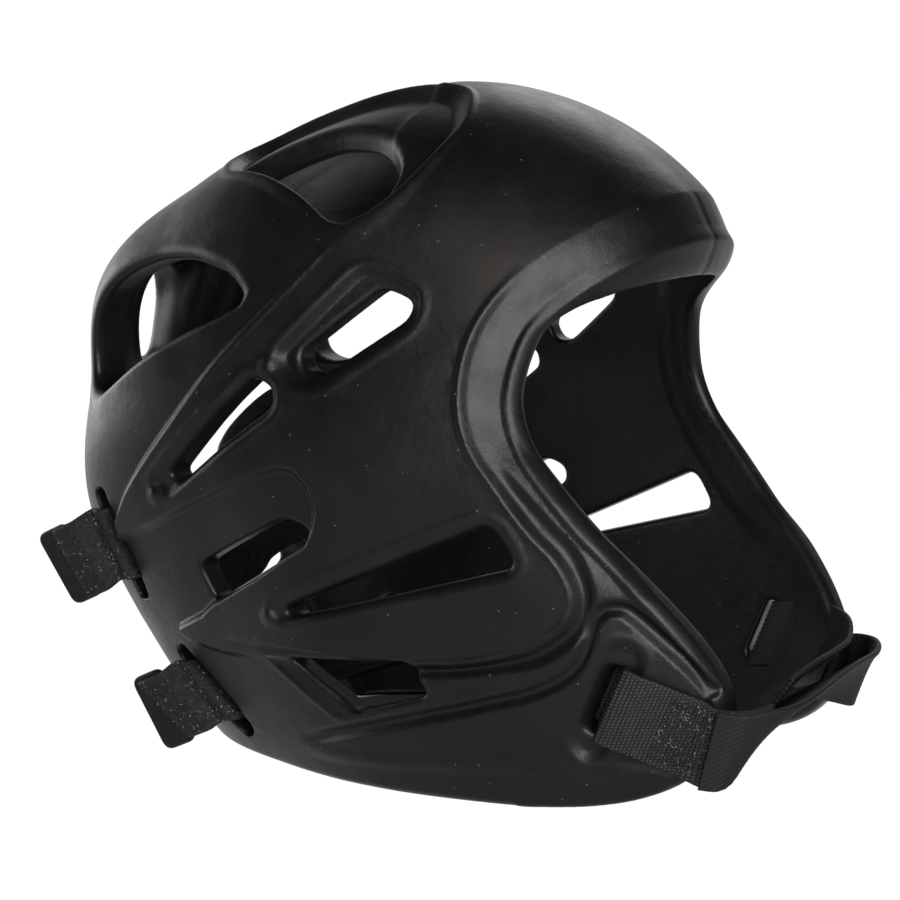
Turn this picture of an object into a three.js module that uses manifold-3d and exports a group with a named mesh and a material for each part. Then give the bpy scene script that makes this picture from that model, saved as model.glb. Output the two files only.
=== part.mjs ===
// Padded head guard: one moulded foam shell with a chin strap and two rear straps.
// Millimetres, +Z up, the face looks along -Y, the wearer's right is -X.
import * as THREE from 'three';
import * as BufferGeometryUtils from 'three/addons/utils/BufferGeometryUtils.js';
import Module from 'manifold-3d';

const wasm = await Module();
wasm.setup();

// Driving dimensions of the shell
const HALF_WIDTH = 103;
const EAR = { y: 40, z: 135 };
const SIDE_WALL = 12;
const CROWN_WALL = 15;
const WIDTH_POWER = 2.3;
const RECESS_DEPTH = 5;
const REACH = 130;
const MIDDLE_SHIFT = 12.4;

// Driving dimensions of the straps
const WEBBING = { width: 28, thick: 2.0 };
const REAR_WEBBING = { width: 28, thick: 2.2 };
const TAB = { length: 15, width: 30, thick: 2.0, corner: 4, overlap: 5 };
const STRAP_GAP = 0.4;
const SLOT_WIDTH = 8;

// Side view of the outer form, as a radius from the ear at every 30 degrees.
// fullness is the power that makes the section rounder or squarer in that direction.
const SIDE_FORM = [
  { angle: 0, radius: 93.1, fullness: 2.43 },
  { angle: 30, radius: 99.3, fullness: 2.44 },
  { angle: 60, radius: 92.8, fullness: 2.08 },
  { angle: 90, radius: 102.2, fullness: 1.92 },
  { angle: 120, radius: 127.8, fullness: 1.66 },
  { angle: 150, radius: 155.0, fullness: 1.32 },
  { angle: 180, radius: 178.8, fullness: 1.65 },
  { angle: 210, radius: 248.9, fullness: 1.51 },
  { angle: 240, radius: 241.7, fullness: 1.77 },
  { angle: 270, radius: 177.4, fullness: 1.59 },
  { angle: 300, radius: 133.0, fullness: 1.85 },
  { angle: 330, radius: 111.8, fullness: 2.36 },
];

// Outlines seen from the side, as [y, z]
const FACE_EDGE = [
  [-125, 225], [-113, 203], [-107.5, 194], [-98, 187.5], [-88, 180], [-78.5, 170], [-73, 159], [-70.7, 146],
  [-71.5, 135], [-76.5, 123.5], [-84.7, 113], [-99.5, 96], [-112.4, 83], [-125, 69], [-133.7, 57], [-139, 46],
  [-140, 37], [-136, 24], [-126, 13], [-112, 6], [-95, 2], [-74, 0],
];
const REAR_EDGE = [
  [136, 92], [136, 97], [133.5, 106], [131, 112], [127, 118], [121, 123], [114, 127], [112, 130], [114, 133],
  [121, 134.5], [160, 135],
];
const SIDE_SLOTS = {
  temple: [[-21, 176], [-34, 171], [-34, 164], [-6, 144], [2, 145], [5, 154]],
  rear: [[20, 145], [10, 140], [9, 134], [55, 102], [61, 108]],
  ear: [[8, 97], [-3, 93], [-3, 88], [42, 62], [48, 76], [40, 80]],
  cheek: [[8, 65.5], [-64, 98], [-69, 96], [-74, 87], [-72, 83], [6, 61]],
  jaw: [[8, 46], [-38, 50], [-45, 38], [-13, 28]],
};
const SIDE_RECESSES = {
  temple: [[-17, 182], [-37, 173], [-37, 162], [-7, 141], [5, 140], [13, 152]],
  tongue: [[94, 74], [66, 86], [43, 97], [19, 110], [7, 114], [-5, 107], [-9, 95], [-4, 86], [43, 59], [67, 46]],
  jaw: [[21, 46], [8, 48], [-38, 51], [-47, 37], [-13, 26], [-3, 24]],
};
const REAR_HOLE = [
  [25, 170], [34, 179], [53, 183.5], [70, 183], [86, 178], [97, 170], [103, 160], [106, 149], [105, 138],
  [98, 133.5], [86, 139], [72, 147], [62, 152.5], [50, 158.5], [33, 165.5],
];
const STRAP_SLOTS = [
  { name: 'chin', from: [-109.5, 56], to: [-96.5, 25] },
  { name: 'rear_upper', from: [99, 99], to: [86, 57] },
  { name: 'rear_lower', from: [73, 40], to: [42, 10] },
];
const GROOVES = [
  [[64, 44.5], [37, 45], [5, 46.5], [-36, 49], [-64, 52], [-84, 59], [-93, 68], [-96, 78], [-91, 91], [-85, 101],
    [-73, 110], [-61, 126], [-55, 143], [-56, 159], [-63, 175]],
  [[8, 17], [-33, 28], [-59, 34], [-83, 44], [-93, 51], [-98, 61], [-100, 70], [-104, 72], [-110, 69], [-118, 61],
    [-129, 51], [-136, 44]],
];
const GROOVE = { width: 5, depth: 3 };

// Outlines seen from above, as [x, y], for the left half
const TOP_RECESS = [
  [45, -34], [59, -30], [71, -23], [80, -12], [83, 0], [80, 10], [76, 23], [67, 43], [60, 58], [40, 70], [22, 66],
  [18, 40], [18, 5], [26, -24],
];
const TOP_HOLE = [
  [60, -18], [70, -15], [77, -6], [78, 3], [74, 15], [69, 26], [62, 42], [56, 54], [49, 56], [46, 44], [45, 20],
  [50, -5],
];
const TOP_CUT_FLOOR = 160;

// Holes beside the spine of the back and the gap below it, seen from behind as [x, z], for the left half
const BACK_GAP = [
  [-1, -1], [34, -1], [38, 20], [38, 43], [46, 46], [57, 52], [57, 57], [49, 62], [44, 68], [43, 78], [29, 92],
  [24, 98], [28, 107], [35, 116], [43, 122], [50, 127], [45, 131], [-1, 132],
];
const BACK_HOLE = [[15, 142], [42, 141], [45, 150], [44, 166], [38, 178], [24, 180], [14, 168]];
const BACK_CUT_FROM = 50;

// Way of the chin strap past the wall of the cheek, along the strap from the middle of its slot.
// depth is 0 at the inner face of the wall and 1 at the outer face.
const CHIN_SLOT = { y: -103, z: 40.5, lean: -23 };
const CHIN_ROUTE = [
  { along: -22, depth: 0, gap: -2.4 },
  { along: -12, depth: 0, gap: -2.4 },
  { along: -5, depth: 0, gap: -2.4 },
  { along: -1.4, depth: 0, gap: -1.8 },
  { along: -0.3, depth: 0.3, gap: 0 },
  { along: 0.3, depth: 0.7, gap: 0 },
  { along: 1.2, depth: 1, gap: 1.6 },
  { along: 5, depth: 1, gap: 2.2 },
  { along: 12, depth: 1, gap: 1.6 },
  { along: 20, depth: 1, gap: 1.6 },
  { along: 28, depth: 1, gap: 1.8 },
];

// Way of the chin strap round the front of the cheeks, as the centre of its width and the lean of that width
const RIGHT_END = [
  { x: -61, y: -136, z: 26.5, lean: -12 },
  { x: -58, y: -142.4, z: 25, lean: -10 },
  { x: -51, y: -145.4, z: 24.2, lean: -10 },
  { x: -44, y: -146.2, z: 24, lean: -10 },
];
const LEFT_END = [
  { x: 61.5, y: -136, z: 30, lean: -14 },
  { x: 58.5, y: -142.8, z: 30.5, lean: -16 },
  { x: 50, y: -147, z: 31, lean: -20 },
  { x: 36, y: -149, z: 31.5, lean: -38 },
  { x: 10, y: -149, z: 32, lean: -52 },
  { x: -16, y: -148.6, z: 30.5, lean: -40 },
  { x: -34, y: -149.2, z: 27, lean: -20 },
  { x: -45, y: -149.4, z: 25.2, lean: -12 },
  { x: -53, y: -147.8, z: 24.6, lean: -10 },
  { x: -60.6, y: -143.8, z: 25.2, lean: -10 },
  { x: -64, y: -136.4, z: 26.5, lean: -12 },
];

// Rear straps: the middle of the slot, the lean of the width at the free end, in the slot and at the middle
// of the back, how far the free end tilts out across its width, how far behind the slot the strap leaves the
// wall, how steeply it falls behind the slot and how far it sags at the middle of the back
const REAR_STRAPS = [
  { name: 'upper', y: 92.5, z: 78, freeLean: 25, lean: 17, midLean: 20, tilt: 7, edge: 17, fall: -0.3, sag: 17 },
  { name: 'lower', y: 57.5, z: 25, freeLean: 46, lean: 46, midLean: 24, tilt: 5, edge: 18, fall: -0.12, sag: 6 },
];
const FREE_LENGTH = 19;
const FREE_FALL = -0.45;
const SEWN_LENGTH = 18;
const REAR_GAP = 6;
const REAR_BOW = 9;

// Materials
const FOAM = new THREE.MeshStandardMaterial({ name: 'foam', color: 0x1b1b1c, roughness: 0.5, metalness: 0 });
const NYLON = new THREE.MeshStandardMaterial({ name: 'webbing', color: 0x141416, roughness: 0.8, metalness: 0 });
const LOOP = new THREE.MeshStandardMaterial({ name: 'loop_pile', color: 0x101012, roughness: 0.95, metalness: 0 });
const SMOOTH = new THREE.MeshStandardMaterial({ name: 'tab_plastic', color: 0x0c0c0d, roughness: 0.4, metalness: 0 });

// Value of one column of the side table at an angle in radians, on a smooth closed curve
function sideValue(column, angle) {
  const count = SIDE_FORM.length;
  const place = (((angle / (2 * Math.PI)) * count) % count + count) % count;
  const row = Math.floor(place);
  const t = place - row;
  const at = (step) => SIDE_FORM[(row + step + count) % count][column];
  const [a, b, c, d] = [at(-1), at(0), at(1), at(2)];
  const bend = t * t * (2 * a - 5 * b + 4 * c - d) + t * t * t * (3 * b - a - 3 * c + d);
  return b + 0.5 * (t * (c - a) + bend);
}

// Half width of the grown or shrunk form at a place in the side view
function halfWidthAt(y, z, sideOutset = 0, crownOutset = 0) {
  const angle = Math.atan2(z - EAR.z, y - EAR.y);
  const share = Math.hypot(y - EAR.y, z - EAR.z) / (sideValue('radius', angle) + crownOutset);
  const rest = Math.max(0, 1 - share ** sideValue('fullness', angle));
  return (HALF_WIDTH + sideOutset) * rest ** (1 / WIDTH_POWER);
}

// Closed form grown or shrunk from the outer form, with its poles at the ears
function formGeometry(sideOutset, crownOutset, around, rings) {
  const positions = [];
  const faces = [];
  const width = HALF_WIDTH + sideOutset;
  positions.push(-width, EAR.y, EAR.z);
  for (let ring = 1; ring < 2 * rings; ring += 1) {
    const turn = (ring / rings) * (Math.PI / 2);
    const share = ring === rings ? 1 : Math.sin(turn) ** 1.1;
    const side = ring < rings ? -1 : 1;
    for (let step = 0; step < around; step += 1) {
      const angle = (step / around) * 2 * Math.PI;
      const radius = (sideValue('radius', angle) + crownOutset) * share;
      const rest = Math.max(0, 1 - share ** sideValue('fullness', angle));
      const x = side * width * rest ** (1 / WIDTH_POWER);
      positions.push(x, EAR.y + radius * Math.cos(angle), EAR.z + radius * Math.sin(angle));
    }
  }
  positions.push(width, EAR.y, EAR.z);
  const last = positions.length / 3 - 1;
  const at = (ring, step) => 1 + (ring - 1) * around + (step % around);
  for (let step = 0; step < around; step += 1) {
    faces.push(0, at(1, step + 1), at(1, step));
    faces.push(last, at(2 * rings - 1, step), at(2 * rings - 1, step + 1));
    for (let ring = 1; ring < 2 * rings - 1; ring += 1) {
      faces.push(at(ring, step), at(ring, step + 1), at(ring + 1, step));
      faces.push(at(ring, step + 1), at(ring + 1, step + 1), at(ring + 1, step));
    }
  }
  return indexedGeometry(positions, faces);
}

function indexedGeometry(positions, faces) {
  const geometry = new THREE.BufferGeometry();
  geometry.setAttribute('position', new THREE.Float32BufferAttribute(positions, 3));
  geometry.setIndex(faces);
  return geometry;
}

// Solid for cutting and joining, from any closed geometry
function solidOf(geometry) {
  const plain = geometry.clone();
  plain.deleteAttribute('normal');
  plain.deleteAttribute('uv');
  const merged = BufferGeometryUtils.mergeVertices(plain, 1e-4);
  const mesh = new wasm.Mesh({
    numProp: 3,
    vertProperties: new Float32Array(merged.attributes.position.array),
    triVerts: new Uint32Array(merged.index.array),
  });
  return new wasm.Manifold(mesh);
}

function geometryOf(solid) {
  const mesh = solid.getMesh();
  const positions = Array.from(mesh.vertProperties);
  const geometry = indexedGeometry(positions, Array.from(mesh.triVerts));
  geometry.computeVertexNormals();
  return geometry;
}

// Shape with rounded corners from a list of points, or with sharp ones where the radius is 0
function roundedShape(points, radius) {
  const corners = points.map(([a, b]) => new THREE.Vector2(a, b));
  if (THREE.ShapeUtils.isClockWise(corners)) {
    corners.reverse();
  }
  if (radius === 0) {
    return new THREE.Shape(corners);
  }
  const shape = new THREE.Shape();
  corners.forEach((corner, i) => {
    const before = corners[(i + corners.length - 1) % corners.length];
    const after = corners[(i + 1) % corners.length];
    const inLength = Math.min(radius, corner.distanceTo(before) * 0.45);
    const outLength = Math.min(radius, corner.distanceTo(after) * 0.45);
    const start = before.clone().sub(corner).setLength(inLength).add(corner);
    const end = after.clone().sub(corner).setLength(outLength).add(corner);
    if (i === 0) {
      shape.moveTo(start.x, start.y);
    } else {
      shape.lineTo(start.x, start.y);
    }
    shape.quadraticCurveTo(corner.x, corner.y, end.x, end.y);
  });
  shape.closePath();
  return shape;
}

function extruded(shape, from, to, curveSegments) {
  const geometry = new THREE.ExtrudeGeometry(shape, { depth: to - from, bevelEnabled: false, curveSegments });
  return geometry.translate(0, 0, from);
}

// Bar along X whose section is an outline seen from the side
function sideBar(points, radius = 4, curveSegments = 3) {
  const geometry = extruded(roundedShape(points, radius), -REACH, REACH, curveSegments);
  geometry.applyMatrix4(new THREE.Matrix4().makeBasis(
    new THREE.Vector3(0, 1, 0), new THREE.Vector3(0, 0, 1), new THREE.Vector3(1, 0, 0),
  ));
  return solidOf(geometry);
}

// Bars along Z on both sides, from an outline of the left half seen from above
function topBars(points, radius) {
  const left = solidOf(extruded(roundedShape(points, radius), TOP_CUT_FLOOR, 2 * TOP_CUT_FLOOR, 3));
  const mirrored = points.map(([x, y]) => [-x, y]);
  const right = solidOf(extruded(roundedShape(mirrored, radius), TOP_CUT_FLOOR, 2 * TOP_CUT_FLOOR, 3));
  return left.add(right);
}

// Bars along Y through the back on both sides of its spine
function backBars(points, radius) {
  const toBack = new THREE.Matrix4().makeBasis(
    new THREE.Vector3(-1, 0, 0), new THREE.Vector3(0, 0, 1), new THREE.Vector3(0, 1, 0),
  );
  const bars = [-1, 1].map((side) => {
    const shape = roundedShape(points.map(([x, z]) => [side * x, z]), radius);
    return solidOf(extruded(shape, BACK_CUT_FROM, 2 * REACH, 3).applyMatrix4(toBack));
  });
  return bars[0].add(bars[1]);
}

// Outline of a band of even width along a line of points
function bandOutline(points, width) {
  const line = points.map(([a, b]) => new THREE.Vector2(a, b));
  const left = [];
  const right = [];
  line.forEach((point, i) => {
    const before = line[Math.max(0, i - 1)];
    const after = line[Math.min(line.length - 1, i + 1)];
    const along = after.clone().sub(before).normalize();
    left.push([point.x - along.y * width / 2, point.y + along.x * width / 2]);
    right.unshift([point.x + along.y * width / 2, point.y - along.x * width / 2]);
  });
  return [...left, ...right];
}

function strapSlot({ from, to }) {
  return sideBar(bandOutline([from, to], SLOT_WIDTH), SLOT_WIDTH / 2, 4);
}

// Smooth run of points through the corners of an outline
function smoothRun(points, steps) {
  const curve = new THREE.SplineCurve(points.map(([a, b]) => new THREE.Vector2(a, b)));
  return curve.getPoints(steps).map((point) => [point.x, point.y]);
}

// What the face edge, the bottom and the rear edge leave of the form
function keepBar() {
  const outline = [
    ...smoothRun(FACE_EDGE, 32), [136, 0], ...smoothRun(REAR_EDGE, 16), [200, 135], [200, 300],
    [-125, 300],
  ];
  return sideBar(outline, 0);
}

function shellGeometry() {
  const outer = solidOf(formGeometry(0, 0, 46, 8));
  const lowered = solidOf(formGeometry(-RECESS_DEPTH, -RECESS_DEPTH, 36, 7));
  const grooved = solidOf(formGeometry(-GROOVE.depth, -GROOVE.depth, 46, 8));
  const inner = solidOf(formGeometry(-SIDE_WALL, -CROWN_WALL, 32, 7));
  let recesses = topBars(TOP_RECESS, 8);
  Object.values(SIDE_RECESSES).forEach((outline) => {
    recesses = recesses.add(sideBar(outline, 6, 2));
  });
  let grooves = null;
  GROOVES.forEach((line) => {
    const groove = sideBar(bandOutline(line, GROOVE.width), 0);
    grooves = grooves ? grooves.add(groove) : groove;
  });
  let shell = outer.subtract(recesses.subtract(lowered));
  shell = shell.subtract(grooves.subtract(grooved));
  shell = shell.subtract(inner).intersect(keepBar());
  Object.values(SIDE_SLOTS).forEach((outline) => {
    shell = shell.subtract(sideBar(outline, 3.5, 2));
  });
  shell = shell.subtract(sideBar(REAR_HOLE, 6, 1));
  STRAP_SLOTS.forEach((slot) => {
    shell = shell.subtract(strapSlot(slot));
  });
  shell = shell.subtract(topBars(TOP_HOLE, 7)).subtract(backBars(BACK_HOLE, 7)).subtract(backBars(BACK_GAP, 0));
  return geometryOf(shell);
}

// Flat band of even thickness on a grid of points, station by station and lane by lane
function ribbonGeometry(grid, thick) {
  const [stations, lanes] = [grid.length, grid[0].length];
  const positions = [];
  const faces = [];
  const pointAt = (i, j) => grid[Math.min(stations - 1, Math.max(0, i))][Math.min(lanes - 1, Math.max(0, j))];
  [-1, 1].forEach((face) => {
    for (let i = 0; i < stations; i += 1) {
      for (let j = 0; j < lanes; j += 1) {
        const along = pointAt(i + 1, j).clone().sub(pointAt(i - 1, j));
        const across = pointAt(i, j + 1).clone().sub(pointAt(i, j - 1));
        const out = along.cross(across).normalize();
        const corner = pointAt(i, j).clone().addScaledVector(out, face * thick / 2);
        positions.push(corner.x, corner.y, corner.z);
      }
    }
  });
  const at = (face, i, j) => face * stations * lanes + i * lanes + j;
  const quad = (a, b, c, d) => faces.push(a, b, c, a, c, d);
  for (let i = 0; i < stations - 1; i += 1) {
    for (let j = 0; j < lanes - 1; j += 1) {
      quad(at(1, i, j), at(1, i + 1, j), at(1, i + 1, j + 1), at(1, i, j + 1));
      quad(at(0, i, j), at(0, i, j + 1), at(0, i + 1, j + 1), at(0, i + 1, j));
    }
    quad(at(0, i, 0), at(0, i + 1, 0), at(1, i + 1, 0), at(1, i, 0));
    quad(at(0, i, lanes - 1), at(1, i, lanes - 1), at(1, i + 1, lanes - 1), at(0, i + 1, lanes - 1));
  }
  for (let j = 0; j < lanes - 1; j += 1) {
    quad(at(0, 0, j), at(1, 0, j), at(1, 0, j + 1), at(0, 0, j + 1));
    const end = stations - 1;
    quad(at(0, end, j), at(0, end, j + 1), at(1, end, j + 1), at(1, end, j));
  }
  return indexedGeometry(positions, faces);
}

// Lanes smoothed along the band
function smoothGrid(rows, steps) {
  const lanes = rows[0].map((point, j) => new THREE.CatmullRomCurve3(rows.map((row) => row[j]), false, 'centripetal'));
  const grid = [];
  for (let i = 0; i <= steps; i += 1) {
    grid.push(lanes.map((curve) => curve.getPoint(i / steps)));
  }
  return grid;
}

const LANES = [-0.5, 0, 0.5];

function leaning(degrees) {
  const lean = THREE.MathUtils.degToRad(degrees);
  return new THREE.Vector3(0, Math.sin(lean), Math.cos(lean));
}

function chinGrid(side, end) {
  const across = leaning(CHIN_SLOT.lean);
  const cheek = CHIN_ROUTE.map(({ along, depth, gap }) => LANES.map((lane) => {
    const y = CHIN_SLOT.y - along * across.z + lane * WEBBING.width * across.y;
    const z = CHIN_SLOT.z + along * across.y + lane * WEBBING.width * across.z;
    const wall = THREE.MathUtils.lerp(halfWidthAt(y, z, -SIDE_WALL, -CROWN_WALL), halfWidthAt(y, z), depth);
    return new THREE.Vector3(side * (wall + gap), y, z);
  }));
  const front = end.map(({ x, y, z, lean }) => LANES.map(
    (lane) => new THREE.Vector3(x, y, z).addScaledVector(leaning(lean), lane * WEBBING.width),
  ));
  return smoothGrid([...cheek, ...front], 2 * (cheek.length + front.length - 1));
}

// Way of a rear strap from the free end on the right, across the back, to the sewn end on the left.
// out is the distance behind the slot, and a row has either its own x or a depth in the wall with a gap.
function rearRoute({ y, z, edge, fall }) {
  const freeX = halfWidthAt(y, z) + 4;
  const free = [1, 0.85, 0.7, 0.55].map((share) => ({ side: -1, out: share * FREE_LENGTH, x: freeX, free: true }));
  const slot = [
    { out: 6, depth: 1, gap: 3.2 },
    { out: 1.2, depth: 1, gap: 1 },
    { out: 0, depth: 0.6, gap: 0 },
    { out: 0, depth: 0.2, gap: 0 },
    { out: 1.2, depth: 0, gap: -REAR_GAP },
  ];
  const inside = [0.35, 0.7, 1].map((share) => ({ out: share * edge, depth: 0, gap: -REAR_GAP }));
  const edgeX = halfWidthAt(y + edge, z + fall * edge, -SIDE_WALL, -CROWN_WALL) - REAR_GAP;
  const back = [0.66, 0.33].map((share) => ({ out: edge + REAR_BOW * (1 - share), x: share * edgeX }));
  const half = [...slot, ...inside, ...back];
  const sewn = [{ out: 12, depth: 1, gap: 1.8 }, { out: SEWN_LENGTH, depth: 1, gap: 1.5 }];
  const onSide = (rows, side) => rows.map((row) => ({ side, ...row }));
  const left = [...half].reverse();
  return [...free, ...onSide(half, -1), { side: 1, out: edge + REAR_BOW, x: 0 }, ...onSide([...left, ...sewn], 1)];
}

function rearGrid(strap) {
  return smoothGrid(rearRoute(strap).map(({ side, out, x, free, depth, gap }) => {
    const share = Math.min(1, out / strap.edge);
    const lean = free ? strap.freeLean : THREE.MathUtils.lerp(strap.lean, strap.midLean, share);
    const fall = free ? FREE_FALL : strap.fall;
    const tilt = free ? strap.tilt : 0;
    const sag = free || depth === 1 ? 0 : strap.sag * (out / (strap.edge + REAR_BOW)) ** 2;
    return LANES.map((lane) => {
      const point = new THREE.Vector3(0, strap.y + out, strap.z + fall * out - sag);
      point.addScaledVector(leaning(lean), lane * REAR_WEBBING.width);
      const wall = () => THREE.MathUtils.lerp(
        halfWidthAt(point.y, point.z, -SIDE_WALL, -CROWN_WALL), halfWidthAt(point.y, point.z), depth,
      );
      point.x = side * (x === undefined ? wall() + gap : x + lane * tilt);
      return point;
    });
  }), 60);
}

// Flat pull tab against the inner side of the free end of a rear strap
function tabGeometry(strap) {
  const grid = rearGrid(strap);
  const along = grid[0][1].clone().sub(grid[3][1]).normalize();
  const across = grid[0][2].clone().sub(grid[0][0]).normalize();
  const out = new THREE.Vector3().crossVectors(along, across).normalize();
  const inward = out.x > 0 ? out : out.clone().negate();
  const wide = new THREE.Vector3().crossVectors(inward, along).normalize();
  const half = TAB.width / 2;
  const shape = roundedShape([[0, -half], [TAB.length, -half], [TAB.length, half], [0, half]], TAB.corner);
  const start = grid[0][1].clone().addScaledVector(along, -TAB.overlap);
  start.addScaledVector(inward, REAR_WEBBING.thick / 2 + STRAP_GAP);
  const geometry = extruded(shape, 0, TAB.thick, 4);
  return geometry.applyMatrix4(new THREE.Matrix4().makeBasis(along, wide, inward).setPosition(start));
}

const guard = new THREE.Group();
guard.name = 'head_guard';

function addPiece(name, geometry, material) {
  geometry.translate(0, MIDDLE_SHIFT, 0);
  const mesh = new THREE.Mesh(geometry, material.clone());
  mesh.name = name;
  guard.add(mesh);
}

addPiece('shell', shellGeometry(), FOAM);
addPiece('chin_strap_right', ribbonGeometry(chinGrid(-1, RIGHT_END), WEBBING.thick), NYLON);
addPiece('chin_strap_left', ribbonGeometry(chinGrid(1, LEFT_END), WEBBING.thick), NYLON);
REAR_STRAPS.forEach((strap) => {
  addPiece(`rear_strap_${strap.name}`, ribbonGeometry(rearGrid(strap), REAR_WEBBING.thick), LOOP);
  addPiece(`rear_tab_${strap.name}`, tabGeometry(strap), SMOOTH);
});

export default guard;
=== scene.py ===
import math
import bpy
import numpy as np
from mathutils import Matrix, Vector


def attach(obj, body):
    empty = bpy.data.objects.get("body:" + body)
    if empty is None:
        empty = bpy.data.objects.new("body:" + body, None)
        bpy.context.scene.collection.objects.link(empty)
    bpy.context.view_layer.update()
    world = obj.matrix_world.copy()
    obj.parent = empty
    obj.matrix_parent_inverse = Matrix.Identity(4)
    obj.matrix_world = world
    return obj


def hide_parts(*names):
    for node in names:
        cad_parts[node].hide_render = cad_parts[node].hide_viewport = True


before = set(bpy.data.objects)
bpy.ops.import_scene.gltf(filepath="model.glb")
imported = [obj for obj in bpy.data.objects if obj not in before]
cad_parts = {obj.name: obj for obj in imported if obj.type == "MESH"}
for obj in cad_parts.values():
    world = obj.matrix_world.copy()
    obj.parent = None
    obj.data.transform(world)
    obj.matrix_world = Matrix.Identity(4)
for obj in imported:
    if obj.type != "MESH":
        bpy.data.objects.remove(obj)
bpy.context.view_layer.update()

# Sizes are in millimetres, in the frame of the solids before they are centred
MM = 0.001
MIDDLE_SHIFT = 12.4
HALF_WIDTH = 103.3
EAR_Y, EAR_Z = 40.0, 135.0
WIDTH_POWER = 2.3
SIDE_WALL = 12.0
CROWN_WALL = 15.0
MAP_STEP = 0.6
GRID_STEP = 1.0
SHELL_TRIANGLES = 196000

# Side view of the outer form: angle, radius from the ear, fullness
SIDE_FORM = np.array([
    (0, 93.1, 2.43), (30, 99.3, 2.44), (60, 92.8, 2.08), (90, 102.2, 1.92), (120, 127.8, 1.66),
    (150, 155.0, 1.32), (180, 178.8, 1.65), (210, 248.9, 1.51), (240, 241.7, 1.77),
    (270, 177.4, 1.59), (300, 133.0, 1.85), (330, 111.8, 2.36),
])

# Edges of the shell seen from the side, as (y, z)
FACE_EDGE = [
    (-125, 225), (-113, 203), (-107.5, 194), (-98, 187.5), (-88, 180), (-78.5, 170), (-73, 159),
    (-70.7, 146), (-71.5, 135), (-76.5, 123.5), (-84.7, 113), (-99.5, 96), (-112.4, 83), (-125, 69),
    (-133.7, 57), (-139, 46), (-140, 37), (-136, 24), (-126, 13), (-112, 6), (-95, 2), (-74, 0),
]
REAR_EDGE = [
    (136, 92), (136, 97), (133.5, 106), (131, 112), (127, 118), (121, 123), (114, 127), (112, 130),
    (114, 133), (121, 134.5), (160, 135),
]
BOTTOM_REAR = (136, 0)
OUTSIDE = [(200, 135), (200, 300), (-125, 300)]

# Holes of the side, as (y, z), with the rounding of the outline's corners
SIDE_HOLES = {
    "temple": (4, [(-22, 175.5), (-33, 171), (-32, 165), (-6, 146), (1, 146.5), (4, 153)]),
    "rear": (3, [(19, 144.5), (12, 141), (11, 135), (50, 106), (55, 109)]),
    "ear": (4, [(7, 97), (-2, 94), (-3, 88), (42, 63), (48, 76), (41, 80)]),
    "cheek": (3, [(8, 65), (-64, 97.5), (-68, 96), (-74, 87), (-73, 83.5), (6, 61.5)]),
    "jaw": (3, [(11, 46), (-37, 49.5), (-43.5, 38), (-15, 29)]),
}
STRAP_SLOTS = {
    "chin": ((-107.8, 52), (-98.2, 29)),
    "rear_upper": ((97, 92), (88, 63)),
    "rear_lower": ((68.5, 35.6), (46.5, 14.4)),
}
SLOT_WIDTH = 8.0
SLOT_POCKETS = {
    "rear_upper": ((99, 99), (86, 57)),
    "rear_lower": ((73, 40), (42, 10)),
}
POCKET_DEPTH = 6.0
REAR_HOLE = [
    (25, 170), (34, 179), (53, 183.5), (70, 183), (86, 178), (97, 170), (103, 160), (106, 149),
    (105, 138), (98, 133.5), (86, 139), (72, 147), (62, 152.5), (50, 158.5), (33, 165.5),
]

# Relief of the side, as (y, z)
CREASE = [(-8, 196), (3, 182), (18, 165), (31, 151), (52, 127), (78, 100), (89, 87)]
REAR_LEVEL = CREASE + [
    (90, 79), (74, 86), (46, 98.5), (29, 106), (15, 111.5), (8, 114), (2, 113), (-3, 108),
    (-6, 100), (-4.5, 93), (-2, 89), (3, 85.5), (18, 75.5), (42, 63), (50, 57), (65, 50), (66, 47),
    (60, 45), (42, 43.3), (25, 44.3), (0, 45.5), (0, -20), (200, -20), (200, 300), (-8, 300),
]
PANEL_EDGE = [
    (-66, 181), (-60, 172), (-56, 164), (-54.5, 155), (-54, 143), (-56, 131), (-61, 120),
    (-69, 110), (-79, 97), (-88, 87.5), (-93, 79), (-94, 72), (-92, 67), (-87, 62), (-79, 56.5),
    (-67, 52.5), (-56, 50.3), (-44, 49), (-6, 46.3), (25, 44.3), (42, 43.3), (60, 45),
]
CHANNEL = [
    (-70, 184), (-62, 168), (-59.5, 155), (-59, 143), (-61, 130), (-66, 119), (-73, 109),
    (-83, 97.5), (-91, 89), (-95.5, 80), (-96.5, 73), (-94.5, 65.5), (-89, 60), (-80, 54.5),
    (-67, 50.5), (-56, 48.4), (-44, 47), (-6, 44.4), (25, 42.6), (44, 41.8), (62, 43.5),
]
JAW_GROOVE = [
    (16, 13.5), (-16, 23), (-43, 31), (-55, 34.3), (-66, 37.7), (-78, 41.3), (-89, 47), (-95, 53),
    (-98, 60), (-99.3, 65), (-101, 69), (-104, 71.6), (-109, 72), (-113, 69.5), (-121, 62),
    (-129, 54), (-136, 45.5),
]
RIM_RIDGE = [(16, 13), (2, 11), (-27, 12), (-53, 14), (-67, 15), (-87, 15.5), (-109, 16), (-122, 14)]
BAND_LINE = [
    (-125, 225), (-112, 216), (-100, 208), (-90, 201), (-79, 192.5), (-69, 184), (-62, 175),
    (-57, 165), (-54.5, 155), (-54, 143), (-56, 131), (-61, 120), (-69, 110), (-79, 97),
]
SIDE_RECESSES = {
    "temple": (2.4, 5, [(-15, 182), (-22, 181), (-36, 174), (-36, 164), (-6, 142), (5, 143), (12, 152)]),
    "rear": (2.0, 3, [(20, 146), (12, 143), (9, 139), (10, 133), (55, 101), (62, 105)]),
    "cheek": (1.4, 3, [(13, 66), (-64, 99.5), (-70, 97), (-76, 86), (-73, 81.5), (10, 60)]),
    "chin": (1.6, 4, [(-112, 60), (-116, 55), (-102, 21), (-94, 20), (-91, 27), (-105, 60)]),
}
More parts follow.
